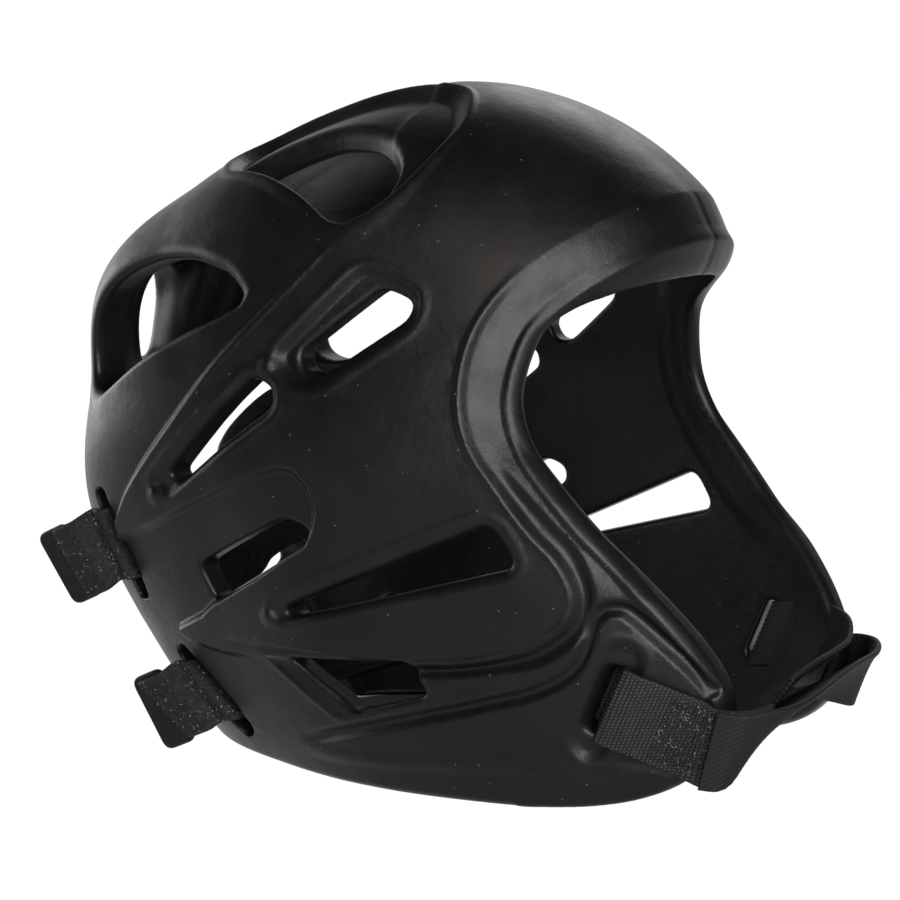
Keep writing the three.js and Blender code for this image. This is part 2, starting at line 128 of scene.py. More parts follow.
JAW_SILL = [(24, 46), (8, 47.5), (-38, 50.5), (-45, 37.5), (-13, 26.5), (-7, 25.5)]
JAW_SILL_SLOPE = 0.30

# Outlines seen from above, as (x, y), for the left half
TOP_RECESS = [
    (45, -34), (59, -30), (71, -23), (80, -12), (83, 0), (80, 10), (76, 23), (67, 43), (60, 58),
    (40, 70), (22, 66), (18, 40), (18, 5), (26, -24),
]
TOP_HOLE = [
    (60, -18), (70, -15), (77, -6), (78, 3), (74, 15), (69, 26), (62, 42), (56, 54), (49, 56),
    (46, 44), (45, 20), (50, -5),
]
TOP_CUT_FLOOR = 160.0
TOP_RECESS_DEPTH = 5.0

# Outlines seen from behind, as (x, z), for the left half
BACK_GAP = [
    (-20, -8), (34, -8), (38, 20), (38, 43), (42, 47), (49, 52), (49, 57), (45, 62), (44, 68),
    (43, 78), (34, 90), (32, 98), (37, 106), (44, 113), (51, 119), (57, 125), (50, 131), (-20, 132),
]
BACK_HOLE = [(13, 142), (42, 141), (45, 150), (44, 166), (38, 178), (22, 180), (12, 168)]
BACK_CUT_FROM = 50.0
SPINE_Y, SPINE_LEAN, SPINE_RADIUS = 121.0, 0.40, 16.0
SPINE_LOW, SPINE_HIGH = 140.0, 184.0

# Small round swellings at the ends of the slots, as (y, z), with their radius and height
SWELLINGS = [(15, 61), (61.5, 100), (14, 149)]
SWELL_RADIUS, SWELL_HEIGHT = 4.5, 1.3

# Slope of the band in front of the side panel, and drop of the brow's end face with depth
BAND_SLOPE, BAND_WIDTH = 0.40, 12.5
CHEEK_SLOPE, CHEEK_WIDTH = 0.30, 14.0
BROW_DROP = 0.83

# Relief of the side: height of each bead and depth of each groove, with half its width
CREASE_BEAD = (0.6, 2.0)
PANEL_BEAD = (0.9, 2.5)
RIM_BEAD = (1.2, 2.8)
RIM_BEAD_INSET = 3.2
RIDGE_BEAD = (0.7, 4.0)
SILL_BEAD = (0.5, 2.0)
RECESS_BEAD = (0.35, 2.4)
JAW_DEPTH = (2.2, 3.4)
CHANNEL_DEPTH = 2.6
CHANNEL_NARROW, CHANNEL_WIDER = 3.2, 1.6
LEVEL_DEPTH, LEVEL_LOSS = 3.6, 2.9
LEVEL_FRONT_SHARE, LEVEL_REAR_SHARE = 0.7, 0.3
FACE_RIDGE_HEIGHT, FACE_RIDGE_INSET, FACE_RIDGE_HALF = 1.3, 13, 7
SMALL_ROUND = 2.2
EDGE_ROUND = 2.6
SPINE_BLEND = 6.0

# Straps: sizes of the webbing and the way that each strap takes
WEBBING_WIDTH = 28.0
WEBBING_THICK = 2.0
REAR_THICK = 2.2
TAB_LENGTH, TAB_WIDTH, TAB_THICK = 15.0, 30.0, 2.0
TAB_CORNER, TAB_OVERLAP = 4.0, 5.0
STRAP_GAP = 0.4
FREE_LENGTH, FREE_FALL, SEWN_LENGTH = 19.0, -0.45, 18.0
REAR_GAP, REAR_BOW = 6.0, 9.0
CHIN_SLOT = {"y": -103.0, "z": 40.5, "lean": -23.0}

# Way of the chin strap past the cheek: along the strap, depth in the wall, gap
CHIN_ROUTE = [
    (-22, 0, -2.4), (-12, 0, -2.4), (-4, 0, -2.4), (0.2, 0, -1.8), (1.4, 0.3, 0), (2.0, 0.7, 0),
    (3.0, 1, 1.4), (7, 1, 2.2), (13, 1, 1.6), (20, 1, 1.6), (28, 1, 1.8),
]
THROUGH_SLOT = CHIN_ROUTE[3:]

# Way of the chin strap round the front: x, y, z of its middle and the lean of its width
RIGHT_END = [
    (-61, -136, 26.5, -12), (-58.5, -141.6, 26, -17), (-54.5, -143.8, 27.5, -28),
    (-50, -145.2, 29.8, -38),
]
LEFT_END = [
    (61.5, -136, 30, -14), (58.5, -142.8, 30.5, -16), (50, -147, 31.5, -24),
    (36, -148.4, 33.5, -42), (10, -149.0, 37, -57), (-14, -150.0, 36.5, -59),
    (-32, -150.6, 34.5, -57), (-44, -150.4, 31.5, -48), (-54, -148.6, 28, -30),
    (-61.4, -144.0, 26, -18), (-64.6, -136.6, 26.5, -14),
]
LEFT_INNER = [
    (-26, -142.6, 33, -34), (-10, -142.2, 38.5, -48), (8, -141.6, 40.5, -54), (26, -141.4, 40, -44),
    (41, -138.4, 41.5, -26), (50, -131, 42, -18), (54.5, -122, 42, -20), (57.5, -113, 41.5, -22),
]
REAR_STRAPS = {
    "upper": {"y": 92.5, "z": 78, "free_lean": 25, "lean": 17, "mid_lean": 20, "tilt": 7,
              "edge": 17, "fall": -0.1, "sag": 30, "power": 3},
    "lower": {"y": 57.5, "z": 25, "free_lean": 46, "lean": 46, "mid_lean": 24, "tilt": 5,
              "edge": 18, "fall": -0.12, "sag": 6, "power": 2},
}
LANES = np.linspace(-0.5, 0.5, 9)

# Detail of the straps: step along and lanes across, threads, weave and rib
RIGHT_STEP, RIGHT_LANES = 0.32, 88
LEFT_STEP, LEFT_LANES = 0.65, 70
REAR_STEP, REAR_LANES = 0.62, 46
PATCH_START, PATCH_END, PATCH_LANES = 0.62, 0.93, slice(8, 80)
LOOPED_LENGTH = 46.0
CHIN_THREADS, CHIN_THREAD_REACH, CHIN_THREAD_SEED = 4800, 1.0, 11
REAR_THREADS, REAR_THREAD_REACH, REAR_THREAD_SEED = 4200, 0.7, 21
THREAD_RADIUS = 0.055
BEAD_LONG, BEAD_WIDE, BEAD_SHIFT = 1.35, 1.2, 0.6
BEAD_HEIGHT, BEAD_POWER = 0.40, 0.7
WEAVE_GRAIN, WEAVE_GRAIN_SIZE, WEAVE_SEED = 0.012, 0.9, 7
RIB_HEIGHT, RIB_STEP = 0.15, 1.6
CROSS_HEIGHT, CROSS_STEP = 0.05, 1.1
PILE_HEIGHT, PILE_SIZE, PILE_SEED = 0.16, 0.6, 5

# Soft edge of a tab: share of its thickness and share of its outline
TAB_LEVELS = [
    (0.0, 0.93), (0.0, 0.965), (0.25, 0.99), (0.6, 1.0),
    (1.4, 1.0), (1.75, 0.99), (2.0, 0.965), (2.0, 0.93),
]

# Tones of the materials, darkest and palest
FOAM_TONES = ((0.0014, 0.0014, 0.0016), (0.0036, 0.0036, 0.0039))
# Weave and rib tones run from painted shade between the threads to painted light on their crowns
WEAVE_PAINTED_SHADE_AND_LIGHT_TONES = ((0.0015, 0.0015, 0.0015), (0.040, 0.040, 0.042))
RIB_PAINTED_SHADE_AND_LIGHT_TONES = ((0.0012, 0.0012, 0.0012), (0.0075, 0.0075, 0.008))
PILE_TONES = ((0.0015, 0.0015, 0.0015), (0.012, 0.012, 0.013))
# The palest thread tone is a painted glint; the others are the black of the threads
THREAD_BLACK_AND_PAINTED_GLINT_TONES = ((0.002, 0.002, 0.002), (0.006, 0.006, 0.007), (0.36, 0.36, 0.39))
TAB_TONES = ((0.0015, 0.0015, 0.0015), (0.004, 0.004, 0.0042))

# Camera at the photograph's angle, in metres
CAMERA_AZIMUTH = math.radians(-59)
CAMERA_RISE = math.radians(7.125)
CAMERA_DISTANCE = 0.8604
CAMERA_LENS = 91.2
CAMERA_TARGET = Vector((0, MIDDLE_SHIFT * MM, 0.110))

# Studio, in metres and watts
FLOOR_REACH, FLOOR_DROP = 14.0, -0.0006
# Half sizes and middle of the painted shadow on the floor under the guard's hollow
PAINTED_SHADOW_REACH = (0.080, 0.092)
PAINTED_SHADOW_MIDDLE = (0.008, 0.004)
WALL_TILT, WALL_STRENGTH = -0.12, 1.05
WALL_STOPS = [(0.45, 0.03), (0.62, 0.05), (0.75, 0.15), (0.86, 0.5), (0.94, 1.0)]
LIGHT_TARGET = (0, 0.01, 0.13)
SOFT_BOXES = [
    {"name": "key_box", "place": (-1.02, -0.96, 0.50), "size": (0.90, 0.9), "power": 50},
    {"name": "wall_box", "place": (1.15, 0.13, 1.15), "size": (1.0, 0.8), "power": 7},
    {"name": "left_box", "place": (-0.10, 1.50, 0.36), "size": (1.5, 0.9), "power": 19},
]
LAMP_PLACE, LAMP_TARGET = (-0.90, -0.38, 0.84), (-0.067, -0.059, 0.174)
LAMP_POWER, LAMP_TINT = 26, (1.0, 0.80, 0.58)
LAMP_ANGLE, LAMP_RADIUS = math.radians(3.2), 0.03


def smooth_step(low, high, value):
    t = np.clip((value - low) / (high - low), 0, 1)
    return t * t * (3 - 2 * t)


def bump(value):
    t = np.clip(np.abs(value), 0, 1)
    return (1 - t * t) ** 2


def bead(size, gap):
    return size[0] * bump(gap / size[1])


# Place at t from b to c on the smooth curve through four neighbours
def between(a, b, c, d, t):
    bend = t * t * (2 * a - 5 * b + 4 * c - d)
    return b + 0.5 * (t * (c - a) + bend + t ** 3 * (3 * b - a - 3 * c + d))


# Open run of points on a smooth curve through the given ones
def smooth_run(points, per_span=8):
    p = np.array(points, float)
    p = np.vstack([2 * p[0] - p[1], p, 2 * p[-1] - p[-2]])
    run = []
    for i in range(1, len(p) - 2):
        a, b, c, d = p[i - 1:i + 3]
        for t in np.arange(per_span) / per_span:
            run.append(between(a, b, c, d, t))
    run.append(p[-2])
    return np.array(run)


# Closed outline whose corners are rounded off
def rounded(points, radius, steps=5):
    p = np.array(points, float)
    run = []
    for i, corner in enumerate(p):
        before, after = p[i - 1], p[(i + 1) % len(p)]
        ways = [(side - corner) / np.linalg.norm(side - corner) for side in (before, after)]
        cuts = [min(radius, 0.45 * np.linalg.norm(side - corner)) for side in (before, after)]
        start, end = (corner + way * cut for way, cut in zip(ways, cuts))
        for t in np.linspace(0, 1, steps):
            run.append((1 - t) ** 2 * start + 2 * t * (1 - t) * corner + t * t * end)
    return np.array(run)


# Distance to a line of points, with the place along it from 0 to 1
def line_distance(points, a, b):
    best = np.full(a.shape, 1e9)
    along = np.zeros(a.shape)
    lengths = np.linalg.norm(np.diff(points, axis=0), axis=1)
    starts = np.concatenate([[0], np.cumsum(lengths)])
    for (p, q), start, length in zip(zip(points[:-1], points[1:]), starts, lengths):
        if length < 1e-9:
            continue
        da, db = (q - p) / length
        t = np.clip((a - p[0]) * da + (b - p[1]) * db, 0, length)
        gap = (a - p[0] - t * da) ** 2 + (b - p[1] - t * db) ** 2
        nearer = gap < best
        best = np.where(nearer, gap, best)
        along = np.where(nearer, (start + t) / starts[-1], along)
    return np.sqrt(best), along


# Distance to a closed outline, below 0 inside it
def outline_distance(points, a, b):
    closed = np.vstack([points, points[:1]])
    gap, _ = line_distance(closed, a, b)
    inside = np.zeros(a.shape, bool)
    for p, q in zip(closed[:-1], closed[1:]):
        if p[1] == q[1]:
            continue
        crosses = (p[1] > b) != (q[1] > b)
        inside ^= crosses & (a < (q[0] - p[0]) * (b - p[1]) / (q[1] - p[1]) + p[0])
    return np.where(inside, -gap, gap)


class Map:
    """Values on an even grid, read between its points."""

    def __init__(self, low, high, make):
        self.low = np.array(low, float)
        self.count = [int(math.ceil((h - l) / MAP_STEP)) + 1 for l, h in zip(low, high)]
        axes = [l + MAP_STEP * np.arange(n) for l, n in zip(low, self.count)]
        self.layers = make(*np.meshgrid(*axes, indexing="ij"))

    def at(self, name, a, b):
        layer = self.layers[name]
        u = np.clip((a - self.low[0]) / MAP_STEP, 0, self.count[0] - 1.001)
        v = np.clip((b - self.low[1]) / MAP_STEP, 0, self.count[1] - 1.001)
        i, j = u.astype(int), v.astype(int)
        u, v = u - i, v - j
        lower = layer[i, j] * (1 - u) + layer[i + 1, j] * u
        upper = layer[i, j + 1] * (1 - u) + layer[i + 1, j + 1] * u
        return lower * (1 - v) + upper * v


def side_value(column, angle):
    n = len(SIDE_FORM)
    place = (angle / (2 * math.pi) * n) % n
    row = np.floor(place).astype(int) % n
    t = place - np.floor(place)
    a, b, c, d = (SIDE_FORM[(row + step) % n, column] for step in (-1, 0, 1, 2))
    return between(a, b, c, d, t)


# Share of the section that the side view takes up, 1 on the outline of the form
def side_share(y, z, crown_outset):
    angle = np.arctan2(z - EAR_Z, y - EAR_Y)
    share = np.hypot(y - EAR_Y, z - EAR_Z) / (side_value(1, angle) + crown_outset)
    return share ** side_value(2, angle)


def half_width(y, z, side_outset=0.0, crown_outset=0.0):
    rest = np.maximum(0, 1 - side_share(np.asarray(y, float), np.asarray(z, float), crown_outset))
    return (HALF_WIDTH + side_outset) * rest ** (1 / WIDTH_POWER)


# Step from the side panel down to the rear level, with the bead along the crease
def level_relief(y, z):
    level = outline_distance(np.array(REAR_LEVEL, float), y, z)
    depth = LEVEL_DEPTH - LEVEL_LOSS * smooth_step(100, 150, z)
    depth = depth * np.where(z < 50, smooth_step(0, 50, y), 1)
    front = smooth_step(-1.8, 1.8, level)
    relief = depth * front * LEVEL_FRONT_SHARE * (1 - smooth_step(6, 60, level))
    relief -= depth * (1 - front) * LEVEL_REAR_SHARE * (1 - smooth_step(6, 40, -level))
    crease, along = line_distance(smooth_run(CREASE), y, z)
    return relief + bead(CREASE_BEAD, crease) * smooth_step(0, 0.1, along)


# Beads in front of the side panel and the sloped band between them and the face edge
def band_relief(y, z, high):
    edge, along = line_distance(smooth_run(PANEL_EDGE), y, z)
    relief = bead(PANEL_BEAD, edge) * smooth_step(150, 120, z) * smooth_step(1, 0.6, along)
    turn, _ = line_distance(smooth_run(BAND_LINE), y, z)
    relief += bead(PANEL_BEAD, turn) * smooth_step(120, 150, z) * smooth_step(186, 166, z)
    before = outline_distance(np.array(BAND_LINE + [(-200, 97), (-200, 225)], float), y, z) < 0
    band = np.where(before, np.minimum(turn, BAND_WIDTH), 0)
    relief -= (BAND_SLOPE - 0.2 * smooth_step(165, 190, z)) * band * high
    rim, _ = line_distance(smooth_run(FACE_EDGE, 5), y, z)
    rim_fade = smooth_step(176, 158, z) * smooth_step(20, 50, z)
    return relief + bead(RIM_BEAD, rim - RIM_BEAD_INSET) * rim_fade


# Channel round the cheek panel, the slope ahead of it, the jaw groove and the ridge of the rim
def groove_relief(y, z, high):
    channel, along = line_distance(smooth_run(CHANNEL), y, z)
    width = CHANNEL_NARROW + CHANNEL_WIDER * smooth_step(-60, -85, y)
    hollow = CHANNEL_DEPTH * (1 - high) * smooth_step(1, 0.86, along)
    hollow = hollow * np.where(z < 60, smooth_step(6, -30, y), 1)
    relief = -hollow * bump(channel / width)
    ahead = outline_distance(np.array(CHANNEL[3:11] + [(-200, 73), (-200, 143)], float), y, z) < 0
    sloped = np.where(ahead, np.minimum(channel, CHEEK_WIDTH), 0)
    relief -= CHEEK_SLOPE * sloped * (1 - high) * smooth_step(74, 92, z)
    jaw, along = line_distance(smooth_run(JAW_GROOVE), y, z)
    relief -= bead(JAW_DEPTH, jaw) * smooth_step(0, 0.12, along)
    ridge, along = line_distance(smooth_run(RIM_RIDGE), y, z)
    return relief + bead(RIDGE_BEAD, ridge) * smooth_step(0, 0.1, along)


# Swellings, sill, pockets and recesses around the slots
def slot_relief(y, z):
    relief = np.zeros(y.shape)
    for at_y, at_z in SWELLINGS:
        relief += SWELL_HEIGHT * bump(np.hypot(y - at_y, z - at_z) / SWELL_RADIUS)
    sill = outline_distance(rounded(JAW_SILL, 3), y, z)
    relief -= JAW_SILL_SLOPE * np.clip(-sill, 0, 16)
    relief += bead(SILL_BEAD, sill)
    for ends in SLOT_POCKETS.values():
        pocket = outline_distance(slot_outline(ends), y, z)
        relief -= POCKET_DEPTH * (1 - smooth_step(-2.2, 0.6, pocket))
    for depth, radius, outline in SIDE_RECESSES.values():
        gap = outline_distance(rounded(outline, radius), y, z)
        relief -= depth * (1 - smooth_step(-2.6, 1.6, gap))
        relief += bead(RECESS_BEAD, gap - 2.6)
    return relief


# Height of the relief on the side, above 0 where it stands out
def side_relief(y, z):
    high = smooth_step(104, 124, z)
    return level_relief(y, z) + band_relief(y, z, high) + groove_relief(y, z, high) + slot_relief(y, z)


def slot_outline(ends):
    p, q = (np.array(end, float) for end in ends)
    way = (q - p) / np.linalg.norm(q - p)
    off = np.array([-way[1], way[0]]) * SLOT_WIDTH / 2
    return rounded([p + off, q + off, q - off, p - off], SLOT_WIDTH / 2, 6)


# Everything that depends on the side view alone
def side_layers(y, z):
    layers = {}
    for name, outset in (("outer", 0.0), ("inner", -CROWN_WALL)):
        share = side_share(y, z, outset)
        slope_y, slope_z = np.gradient(share, MAP_STEP)
        layers[name] = share
        layers[name + "_slope"] = slope_y ** 2 + slope_z ** 2
    layers["relief"] = side_relief(y, z)
    face = smooth_run(FACE_EDGE, 5)
    rear = smooth_run(REAR_EDGE, 5)
    keep = outline_distance(np.vstack([face, [BOTTOM_REAR], rear, OUTSIDE]), y, z)
    face_gap, _ = line_distance(face, y, z)
    cuts = {}
    for name, (radius, outline) in SIDE_HOLES.items():
        cuts[name] = outline_distance(rounded(outline, radius), y, z)
    for name, ends in STRAP_SLOTS.items():
        cuts["slot_" + name] = outline_distance(slot_outline(ends), y, z)
    rear_hole = outline_distance(rounded(REAR_HOLE, 6), y, z)
    small = np.minimum.reduce(list(cuts.values()))
    low_rim = smooth_step(0, -8, z - (172 - 0.55 * (y - 30)))
    groups = [
        (np.abs(small), SMALL_ROUND, SMALL_ROUND),
        (np.abs(rear_hole), 6.0 - 4.4 * low_rim, 3.0 + 5.0 * low_rim),
        (face_gap, 1.8 - 0.6 * smooth_step(170, 186, z), 6.0 - 3.5 * smooth_step(160, 180, z)),
        (np.abs(np.where(face_gap > 4, keep, 60)), EDGE_ROUND, EDGE_ROUND),
    ]
    weights = [1 / (gap + 1) ** 4 for gap, _, _ in groups]
    total = sum(weights)
    layers["keep"] = keep
    layers["holes"] = -np.minimum(small, rear_hole)
    ridge = FACE_RIDGE_HEIGHT * bump((face_gap - FACE_RIDGE_INSET) / FACE_RIDGE_HALF)
    layers["ridge"] = ridge * smooth_step(70, 90, z) * smooth_step(190, 170, z)
    layers["drop"] = BROW_DROP * smooth_step(160, 184, z) * smooth_step(-50, -68, y)
    layers["outer_round"] = sum(w * g[1] for w, g in zip(weights, groups)) / total
    layers["inner_round"] = sum(w * g[2] for w, g in zip(weights, groups)) / total
    return layers


def top_layers(x, y):
    recess = outline_distance(rounded(TOP_RECESS, 9), x, y)
    hole = outline_distance(rounded(TOP_HOLE, 8), x, y)
    floor = -TOP_RECESS_DEPTH * (1 - smooth_step(-6, 0.6, recess)) + 0.6 * bump((recess - 1.6) / 2.4)
    return {"recess": floor, "hole": hole}


def back_layers(x, z):
    gap = outline_distance(rounded(BACK_GAP, 6), x, z)
    hole = outline_distance(rounded(BACK_HOLE, 8), x, z)
    return {"hole": np.minimum(gap, hole)}


# Largest of two values with a round corner where both cross
def round_most(a, b, radius):
    corner = np.hypot(np.maximum(a + radius, 0), np.maximum(b + radius, 0))
    return np.minimum(np.maximum(a, b), -radius) + corner


class Shell:
    """The padded shell as a value that is below 0 inside its foam."""

    def __init__(self):
        self.side = Map((-166, -14), (166, 262), side_layers)
        self.top = Map((0, -60), (112, 100), top_layers)
        self.back = Map((0, -14), (76, 190), back_layers)

    def form(self, name, side_outset, x, y, z):
        width = HALF_WIDTH + side_outset
        share = self.side.at(name, y, z)
        slope = self.side.at(name + "_slope", y, z)
        across = WIDTH_POWER * (x / width) ** (WIDTH_POWER - 1) / width
        return ((x / width) ** WIDTH_POWER + share - 1) / np.sqrt(across ** 2 + slope + 1e-9)

    def value(self, x, y, z):
        x = np.abs(x) + 1e-6
        outer = self.form("outer", 0.0, x, y, z)
        inner = self.form("inner", -SIDE_WALL, x, y, z)
        above = smooth_step(TOP_CUT_FLOOR, TOP_CUT_FLOOR + 20, z)
        skin = outer - self.side.at("relief", y, z) - self.top.at("recess", x, y) * above
        top_cut = np.where(z > TOP_CUT_FLOOR, -self.top.at("hole", x, y), -99.0)
        back_cut = np.where(y > BACK_CUT_FROM, -self.back.at("hole", x, z), -99.0)
        keep = self.side.at("keep", y, z) - self.side.at("drop", y, z) * np.clip(-outer, 0, CROWN_WALL)
        edge = np.maximum(np.maximum(np.maximum(keep, self.side.at("holes", y, z)), top_cut), back_cut)
        outside = round_most(skin, edge, self.side.at("outer_round", y, z))
        lining = -inner - self.side.at("ridge", y, z)
        inside = round_most(lining, edge, self.side.at("inner_round", y, z))
        foam = np.maximum(outside, inside)
        spine = np.hypot(x, y - SPINE_Y + SPINE_LEAN * (z - SPINE_LOW)) - SPINE_RADIUS
        spine = np.maximum(np.maximum(spine, SPINE_LOW - z), z - SPINE_HIGH)
        return -round_most(-foam, -np.maximum(spine, outer), SPINE_BLEND)

    def slope(self, p, step=0.45):
        parts = []
        for axis in range(3):
            move = np.zeros(3)
            move[axis] = step
            parts.append((self.value(*(p + move).T) - self.value(*(p - move).T)) / (2 * step))
        return np.stack(parts, 1)

    def settle(self, p, rounds):
        for _ in range(rounds):
            slope = self.slope(p)
            move = self.value(*p.T) / np.maximum((slope ** 2).sum(1), 0.05)
            p = p - slope * np.clip(move, -1, 1)[:, None]
        return p


# Values of the shell on an even grid, worked out for one half and mirrored
def shell_grid(shell, low, high):
    count = [int(math.ceil((h - l) / GRID_STEP)) + 1 for l, h in zip(low, high)]
    x = GRID_STEP * (np.arange(int(math.ceil(high[0] / GRID_STEP)) + 1) + 0.5)
    y = (low[1] + GRID_STEP * np.arange(count[1]))[None, :, None]
    z = (low[2] + GRID_STEP * np.arange(count[2]))[None, None, :]
    slabs = [shell.value(x[i:i + 12, None, None], y, z).astype(np.float32) for i in range(0, len(x), 12)]
    half = np.concatenate(slabs)
    return np.concatenate([half[::-1], half]), np.array([-x[-1], low[1], low[2]])


# Even net of four-cornered faces on the surface where the values change sign
def surface_net(values, low):
    inside = values < 0
    cells = [n - 1 for n in values.shape]
    corners = [(i, j, k) for i in (0, 1) for j in (0, 1) for k in (0, 1)]
    filled = np.zeros(cells, np.int8)
    for i, j, k in corners:
        filled += inside[i:i + cells[0], j:j + cells[1], k:k + cells[2]]
    at = np.argwhere((filled > 0) & (filled < 8))
    index = np.full(cells, -1, np.int64)
    index[tuple(at.T)] = np.arange(len(at))
    total, hits = np.zeros((len(at), 3)), np.zeros(len(at))
    for axis in range(3):
        for corner in corners:
            if corner[axis]:
                continue
            start = at + corner
            end = start.copy()
            end[:, axis] += 1
            a, b = values[tuple(start.T)], values[tuple(end.T)]
            crosses = (a < 0) != (b < 0)
            t = np.where(crosses, a / np.where(crosses, a - b, 1), 0)
            place = start.astype(float)
            place[:, axis] += t
            total += np.where(crosses[:, None], place, 0)
            hits += crosses
    points = low + GRID_STEP * total / hits[:, None]
    faces = []
    for axis in range(3):
        u, v = (axis + 1) % 3, (axis + 2) % 3
        ahead = [slice(None)] * 3
        behind = [slice(None)] * 3
        ahead[axis], behind[axis] = slice(1, None), slice(None, -1)
        change = inside[tuple(behind)] != inside[tuple(ahead)]
        edges = np.argwhere(change)
        within = (edges[:, u] > 0) & (edges[:, v] > 0)
        within &= (edges[:, u] < cells[u]) & (edges[:, v] < cells[v])
        edges = edges[within]
        quad = []
        for du, dv in ((-1, -1), (0, -1), (0, 0), (-1, 0)):
            cell = edges.copy()
            cell[:, u] += du
            cell[:, v] += dv
            quad.append(index[tuple(cell.T)])
        quad = np.stack(quad, 1)
        leaves = inside[tuple(edges.T)]
        faces.append(np.where(leaves[:, None], quad, quad[:, ::-1]))
    return points, np.concatenate(faces)


def new_object(name, data):
    thing = bpy.data.objects.new(name, data)
    bpy.context.scene.collection.objects.link(thing)
    return thing


def to_metres(points):
    return (np.asarray(points, float) + [0, MIDDLE_SHIFT, 0]) * MM


def mesh_piece(name, points, faces, material):
    mesh = bpy.data.meshes.new(name)
    mesh.vertices.add(len(points))
    mesh.vertices.foreach_set("co", to_metres(points).astype(np.float32).ravel())
    corners = np.concatenate([np.asarray(face) for face in faces])
    sizes = [len(face) for face in faces]
    mesh.loops.add(len(corners))
    mesh.loops.foreach_set("vertex_index", corners.astype(np.int32))
    mesh.polygons.add(len(sizes))
    starts = np.concatenate([[0], np.cumsum(sizes)[:-1]])
    mesh.polygons.foreach_set("loop_start", starts.astype(np.int32))
    mesh.update(calc_edges=True)
    mesh.validate()
    mesh.shade_smooth()
    mesh.materials.append(material)
    return new_object(name, mesh)


def thinned(piece, triangles):
    thin = piece.modifiers.new("thin", "DECIMATE")
    thin.ratio = triangles / sum(len(face.vertices) - 2 for face in piece.data.polygons)
    view = piece.evaluated_get(bpy.context.evaluated_depsgraph_get())
    mesh = bpy.data.meshes.new_from_object(view)
    piece.modifiers.clear()
    old = piece.data
    piece.data = mesh
    bpy.data.meshes.remove(old)


def make_shell(material):
    shell = Shell()
    values, low = shell_grid(shell, (-106, -146, -4), (106, 142, 252))
    points, faces = surface_net(values, low)
    points = shell.settle(points, 1)
    piece = mesh_piece("guard_shell", points, faces, material)
    thinned(piece, SHELL_TRIANGLES)
    mesh = piece.data
    flat = np.empty(3 * len(mesh.vertices), np.float32)
    mesh.vertices.foreach_get("co", flat)
    points = flat.reshape(-1, 3) / MM - [0, MIDDLE_SHIFT, 0]
    points = shell.settle(points, 1)
    mesh.vertices.foreach_set("co", to_metres(points).astype(np.float32).ravel())
    slope = shell.slope(points)
    normals = slope / np.maximum(np.linalg.norm(slope, axis=1), 1e-6)[:, None]
    mesh.update()
    mesh.shade_smooth()
    mesh.normals_split_custom_set_from_vertices(normals.tolist())
    return piece


def leaning(degrees):
    lean = math.radians(degrees)
    return np.array([0, math.sin(lean), math.cos(lean)])


def wall_width(y, z, depth):
    inner = half_width(y, z, -SIDE_WALL, -CROWN_WALL)
    return inner + depth * (half_width(y, z) - inner)


def placed_rows(ends):
    rows = []
    for x, y, z, lean in ends:
        rows.append(np.array([x, y, z]) + LANES[:, None] * WEBBING_WIDTH * leaning(lean))
    return rows


def chin_rows(side, inner, route, end):
    across = leaning(CHIN_SLOT["lean"])
    rows = placed_rows(inner)
    for along, depth, gap in route:
        y = CHIN_SLOT["y"] - along * across[2] + LANES * WEBBING_WIDTH * across[1]
        z = CHIN_SLOT["z"] + along * across[1] + LANES * WEBBING_WIDTH * across[2]
        rows.append(np.stack([side * (wall_width(y, z, depth) + gap), y, z], 1))
    return np.array(rows + placed_rows(end))


# Rows of a rear strap: side, distance behind the slot, own x or depth in the wall, gap
def rear_route(strap):
    free_x = float(half_width(strap["y"], strap["z"])) + 4
    edge = strap["edge"]
    edge_z = strap["z"] + strap["fall"] * edge
    edge_x = float(half_width(strap["y"] + edge, edge_z, -SIDE_WALL, -CROWN_WALL)) - REAR_GAP
    free = [(share * FREE_LENGTH, free_x, "free", 0) for share in (1, 0.85, 0.7, 0.55)]
    half = [(6, None, 1, 3.2), (1.2, None, 1, 1), (0, None, 0.6, 0), (0, None, 0.2, 0)]
    half.append((1.2, None, 0, -REAR_GAP))
    half += [(share * edge, None, 0, -REAR_GAP) for share in (0.35, 0.7, 1)]
    half += [(edge + REAR_BOW * (1 - share), share * edge_x, "back", 0) for share in (0.66, 0.33)]
    sewn = [(12, None, 1, 1.8), (SEWN_LENGTH, None, 1, 1.5)]
    rows = [(-1, *row) for row in free + half] + [(1, edge + REAR_BOW, 0, "back", 0)]
    return rows + [(1, *row) for row in half[::-1] + sewn]


def rear_rows(strap):
    rows = []
    for side, out, own_x, depth, gap in rear_route(strap):
        free = depth == "free"
        share = min(1, out / strap["edge"])
        lean = strap["lean"] + share * (strap["mid_lean"] - strap["lean"])
        fall = strap["fall"]
        sag = 0
        if free:
            lean = strap["free_lean"]
            fall = FREE_FALL
        elif depth != 1:
            sag = strap["sag"] * (out / (strap["edge"] + REAR_BOW)) ** strap["power"]
        middle = np.array([0, strap["y"] + out, strap["z"] + fall * out - sag])
        row = middle + LANES[:, None] * WEBBING_WIDTH * leaning(lean)
        if own_x is None:
            row[:, 0] = side * (wall_width(row[:, 1], row[:, 2], depth) + gap)
        else:
            row[:, 0] = side * (own_x + LANES * (strap["tilt"] if free else 0))
        rows.append(row)
    return np.array(rows)


